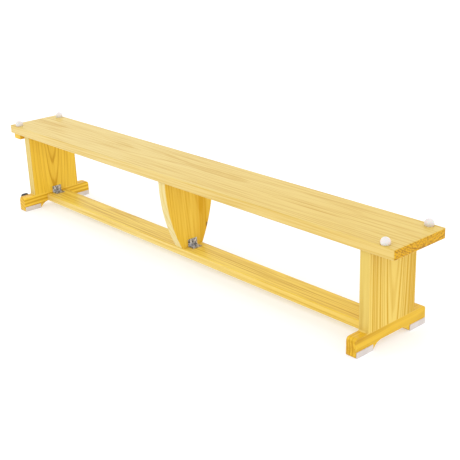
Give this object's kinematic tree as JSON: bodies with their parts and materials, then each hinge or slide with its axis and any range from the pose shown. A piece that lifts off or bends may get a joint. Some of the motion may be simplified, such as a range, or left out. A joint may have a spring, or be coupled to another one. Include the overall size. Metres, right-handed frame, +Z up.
{
  "type": "floor balance beam",
  "caption": "Wooden gymnastics bench with a narrow lower beam for balancing when turned over, padded feet, round bumpers, a wall-bar cleat and transport wheels.",
  "frame": {"origin": "on the floor below the middle of the bench", "axes": "+X along the bench away from the end with the transport wheels, +Z up, +Y across the bench"},
  "size_m": [2, 0.316, 0.361],
  "materials": {
    "pine": "clear satin lacquer",
    "beech": "bare",
    "foot_pad": "matt",
    "bumper": "soft gloss",
    "galvanised_steel": "dull galvanised",
    "screw_steel": "zinc plated",
    "hub": "matt",
    "tyre": "matt"
  },
  "bodies": {
    "bench": {"top_board": "pine", "hook_cleat": "pine", "left_upright": "pine", "right_upright": "pine", "middle_support": "pine", "left_foot": "pine", "right_foot": "pine", "lower_beam": "pine", "left_front_pad": "foot_pad", "left_rear_pad": "foot_pad", "right_front_pad": "foot_pad", "right_rear_pad": "foot_pad", "left_front_bumper": "bumper", "left_rear_bumper": "bumper", "right_front_bumper": "bumper", "right_rear_bumper": "bumper", "left_bumper_studs": "screw_steel", "right_bumper_studs": "screw_steel", "left_pad_screws": "screw_steel", "right_pad_screws": "screw_steel", "left_angle": "galvanised_steel", "middle_left_angle": "galvanised_steel", "middle_right_angle": "galvanised_steel", "right_angle": "galvanised_steel", "left_angle_screws": "screw_steel", "middle_left_angle_screws": "screw_steel", "middle_right_angle_screws": "screw_steel", "right_angle_screws": "screw_steel", "cleat_screws": "screw_steel", "left_top_dowels": "beech", "right_top_dowels": "beech", "middle_top_dowels": "beech", "left_foot_dowels": "beech", "right_foot_dowels": "beech", "left_beam_dowels": "beech", "right_beam_dowels": "beech", "middle_beam_dowels": "beech", "front_wheel_bracket": "galvanised_steel", "rear_wheel_bracket": "galvanised_steel", "front_bracket_screws": "screw_steel", "rear_bracket_screws": "screw_steel", "front_axle_bolt": "galvanised_steel", "rear_axle_bolt": "galvanised_steel", "front_axle_nut": "galvanised_steel", "rear_axle_nut": "galvanised_steel"},
    "front_wheel": {"front_hub": "hub", "front_tyre": "tyre"},
    "rear_wheel": {"rear_hub": "hub", "rear_tyre": "tyre"}
  },
  "joints": [
    {"name": "front_wheel_spin", "type": "hinge", "parent": "bench", "child": "front_wheel", "pos_m": [-0.941, -0.114, 0.029], "axis": [0, 1, 0], "continuous": true},
    {"name": "rear_wheel_spin", "type": "hinge", "parent": "bench", "child": "rear_wheel", "pos_m": [-0.941, 0.114, 0.029], "axis": [0, 1, 0], "continuous": true}
  ]
}
